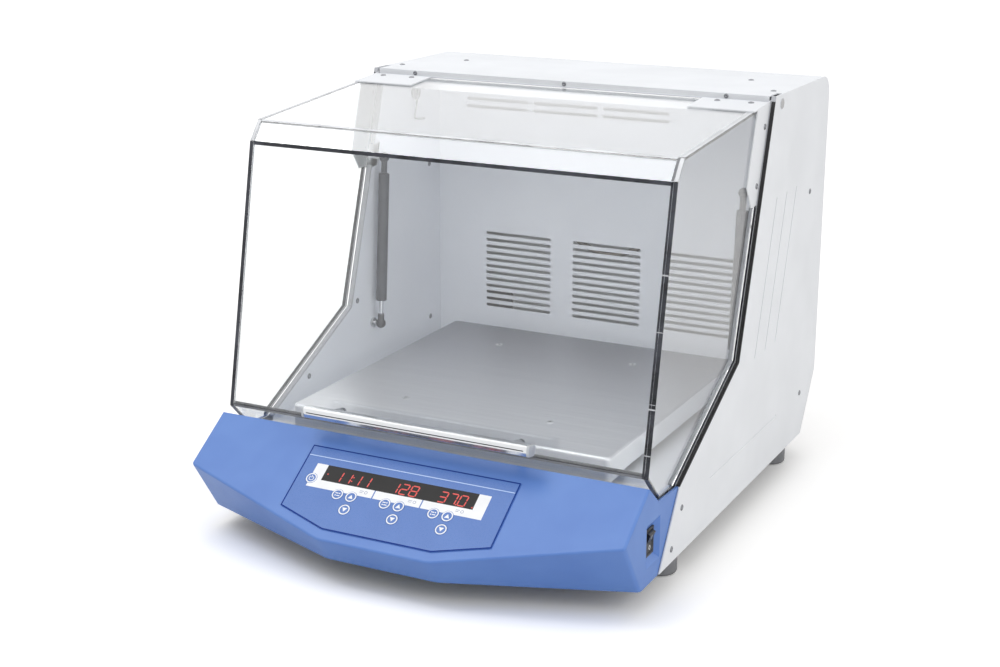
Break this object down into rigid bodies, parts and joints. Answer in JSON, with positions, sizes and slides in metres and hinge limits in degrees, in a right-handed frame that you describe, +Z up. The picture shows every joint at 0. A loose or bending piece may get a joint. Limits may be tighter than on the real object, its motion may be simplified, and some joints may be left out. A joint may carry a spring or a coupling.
{
  "type": "incubated benchtop shaker",
  "caption": "Benchtop shaking incubator: clear hinged hood on gas struts over an orbiting tray, with a sloping keypad housing in front of a sheet-metal cabinet.",
  "frame": {"origin": "on the bench under the middle of the whole instrument", "axes": "+Z up, +X to the right of someone facing the keypad, +Y to the rear; the hood's hinge axis runs along X"},
  "size_m": [0.5824, 0.745, 0.5332],
  "materials": {
    "white_panel": "light grained powder coat",
    "blue_housing": "satin moulded ABS",
    "control_foil": "printed polyester overlay",
    "key_blue": "printed overlay over a key cap",
    "board_green": "solder mask",
    "clear_acrylic": "polished cast acrylic",
    "handle_aluminium": "brushed and anodised",
    "end_cap_grey": "fine grain",
    "bright_steel": "nickel plated",
    "strut_tube_grey": "smooth grey paint",
    "strut_rod_steel": "ground and polished",
    "black_rubber": "extruded sponge rubber",
    "foot_grey": "moulded rubber",
    "tray_aluminium": "satin anodised",
    "galvanised_steel": "bare zinc plated sheet",
    "black_plastic": "fine grain",
    "probe_grey": "smooth",
    "motor_black": "satin paint",
    "cast_grey": "machined faces",
    "heater_steel": "heat toned tube"
  },
  "bodies": {
    "cabinet": {"base_pan": "galvanised_steel", "left_side_panel": "white_panel", "right_side_panel": "white_panel", "roof_cover": "white_panel", "rear_panel": "white_panel", "chamber_left_wall": "white_panel", "chamber_right_wall": "white_panel", "chamber_back_wall": "white_panel", "chamber_ceiling": "white_panel", "chamber_floor": "white_panel", "opening_gasket": "black_rubber", "front_housing": "blue_housing", "control_foil": "control_foil", "control_board": "board_green", "switch_body": "black_plastic", "hinge_pins": "bright_steel", "strut_wall_studs": "bright_steel", "temperature_probe": "probe_grey", "drive_motor": "motor_black", "drive_belt": "black_rubber", "bearing_blocks": "cast_grey", "fan_motor": "motor_black", "heater_coil": "heater_steel", "mains_inlet": "black_plastic", "feet": "foot_grey", "cabinet_screws": "bright_steel"},
    "hood": {"hood_top_plate": "clear_acrylic", "hood_upper_chamfer": "clear_acrylic", "hood_front_plate": "clear_acrylic", "hood_lower_chamfer": "clear_acrylic", "hood_left_plate": "clear_acrylic", "hood_right_plate": "clear_acrylic", "handle_bar": "handle_aluminium", "handle_end_caps": "end_cap_grey", "handle_standoffs": "bright_steel", "left_hinge_bracket": "white_panel", "right_hinge_bracket": "white_panel"},
    "left_strut_rod": {"left_strut_rod": "strut_rod_steel"},
    "right_strut_rod": {"right_strut_rod": "strut_rod_steel"},
    "left_strut_tube": {"left_strut_tube": "strut_tube_grey"},
    "right_strut_tube": {"right_strut_tube": "strut_tube_grey"},
    "crank": {"drive_crank": "cast_grey"},
    "tray": {"shaker_tray": "tray_aluminium", "tray_inserts": "bright_steel", "tray_carrier": "cast_grey"},
    "left_idler": {"left_idler_crank": "cast_grey"},
    "right_idler": {"right_idler_crank": "cast_grey"},
    "motor_rotor": {"motor_pulley": "galvanised_steel"},
    "fan": {"fan_wheel": "galvanised_steel"},
    "rocker": {"switch_rocker": "black_plastic"},
    "key_power_cap": {"key_power": "key_blue"},
    "key_time_mode_cap": {"key_time_mode": "key_blue"},
    "key_time_up_cap": {"key_time_up": "key_blue"},
    "key_time_down_cap": {"key_time_down": "key_blue"},
    "key_speed_mode_cap": {"key_speed_mode": "key_blue"},
    "key_speed_up_cap": {"key_speed_up": "key_blue"},
    "key_speed_down_cap": {"key_speed_down": "key_blue"},
    "key_temperature_mode_cap": {"key_temperature_mode": "key_blue"},
    "key_temperature_up_cap": {"key_temperature_up": "key_blue"},
    "key_temperature_down_cap": {"key_temperature_down": "key_blue"}
  },
  "joints": [
    {"name": "hood_hinge", "type": "hinge", "parent": "cabinet", "child": "hood", "pos_m": [0, 0.15999, 0.52], "axis": [-1, 0, 0], "range_deg": [0, 60]},
    {"name": "left_strut_tilt", "type": "hinge", "parent": "cabinet", "child": "left_strut_rod", "pos_m": [-0.259, 0.09, 0.178], "axis": [1, 0, 0], "range_deg": [0, 13]},
    {"name": "left_strut_stroke", "type": "slide", "parent": "left_strut_rod", "child": "left_strut_tube", "axis": [0, 0.0722, 0.9974], "range_m": [0, 0.104]},
    {"name": "right_strut_tilt", "type": "hinge", "parent": "cabinet", "child": "right_strut_rod", "pos_m": [0.259, 0.09, 0.178], "axis": [1, 0, 0], "range_deg": [0, 13]},
    {"name": "right_strut_stroke", "type": "slide", "parent": "right_strut_rod", "child": "right_strut_tube", "axis": [0, 0.0722, 0.9974], "range_m": [0, 0.104]},
    {"name": "crank_spin", "type": "hinge", "parent": "cabinet", "child": "crank", "pos_m": [0, -0.062, 0.1], "axis": [0, 0, 1], "continuous": true},
    {"name": "tray_orbit", "type": "hinge", "parent": "crank", "child": "tray", "pos_m": [0, -0.067, 0.127], "axis": [0, 0, 1], "continuous": true},
    {"name": "left_idler_spin", "type": "hinge", "parent": "cabinet", "child": "left_idler", "pos_m": [-0.14, 0.128, 0.1], "axis": [0, 0, 1], "continuous": true},
    {"name": "right_idler_spin", "type": "hinge", "parent": "cabinet", "child": "right_idler", "pos_m": [0.14, 0.128, 0.1], "axis": [0, 0, 1], "continuous": true},
    {"name": "motor_spin", "type": "hinge", "parent": "cabinet", "child": "motor_rotor", "pos_m": [0, 0.15, 0.089], "axis": [0, 0, 1], "continuous": true},
    {"name": "fan_spin", "type": "hinge", "parent": "cabinet", "child": "fan", "pos_m": [0, 0.315, 0.345], "axis": [0, 1, 0], "continuous": true},
    {"name": "power_rocker", "type": "hinge", "parent": "cabinet", "child": "rocker", "pos_m": [0.28, -0.236, 0.077], "axis": [0, -1, 0], "range_deg": [0, 20]},
    {"name": "key_power_press", "type": "slide", "parent": "cabinet", "child": "key_power_cap", "axis": [0, 0.5592, -0.829], "range_m": [0, 0.0004], "stiffness_N_per_m": 1500},
    {"name": "key_time_mode_press", "type": "slide", "parent": "cabinet", "child": "key_time_mode_cap", "axis": [0, 0.5592, -0.829], "range_m": [0, 0.0004], "stiffness_N_per_m": 1500},
    {"name": "key_time_up_press", "type": "slide", "parent": "cabinet", "child": "key_time_up_cap", "axis": [0, 0.5592, -0.829], "range_m": [0, 0.0004], "stiffness_N_per_m": 1500},
    {"name": "key_time_down_press", "type": "slide", "parent": "cabinet", "child": "key_time_down_cap", "axis": [0, 0.5592, -0.829], "range_m": [0, 0.0004], "stiffness_N_per_m": 1500},
    {"name": "key_speed_mode_press", "type": "slide", "parent": "cabinet", "child": "key_speed_mode_cap", "axis": [0, 0.5592, -0.829], "range_m": [0, 0.0004], "stiffness_N_per_m": 1500},
    {"name": "key_speed_up_press", "type": "slide", "parent": "cabinet", "child": "key_speed_up_cap", "axis": [0, 0.5592, -0.829], "range_m": [0, 0.0004], "stiffness_N_per_m": 1500},
    {"name": "key_speed_down_press", "type": "slide", "parent": "cabinet", "child": "key_speed_down_cap", "axis": [0, 0.5592, -0.829], "range_m": [0, 0.0004], "stiffness_N_per_m": 1500},
    {"name": "key_temperature_mode_press", "type": "slide", "parent": "cabinet", "child": "key_temperature_mode_cap", "axis": [0, 0.5592, -0.829], "range_m": [0, 0.0004], "stiffness_N_per_m": 1500},
    {"name": "key_temperature_up_press", "type": "slide", "parent": "cabinet", "child": "key_temperature_up_cap", "axis": [0, 0.5592, -0.829], "range_m": [0, 0.0004], "stiffness_N_per_m": 1500},
    {"name": "key_temperature_down_press", "type": "slide", "parent": "cabinet", "child": "key_temperature_down_cap", "axis": [0, 0.5592, -0.829], "range_m": [0, 0.0004], "stiffness_N_per_m": 1500}
  ],
  "couplings": [
    {"joint": "left_strut_tilt", "follows": "hood_hinge", "ratio": 0.20979},
    {"joint": "left_strut_stroke", "follows": "hood_hinge", "m_per_rad": 0.098075},
    {"joint": "right_strut_tilt", "follows": "hood_hinge", "ratio": 0.20979},
    {"joint": "right_strut_stroke", "follows": "hood_hinge", "m_per_rad": 0.098075},
    {"joint": "tray_orbit", "follows": "crank_spin", "ratio": -1},
    {"joint": "left_idler_spin", "follows": "crank_spin", "ratio": 1},
    {"joint": "right_idler_spin", "follows": "crank_spin", "ratio": 1},
    {"joint": "motor_spin", "follows": "crank_spin", "ratio": 3}
  ]
}
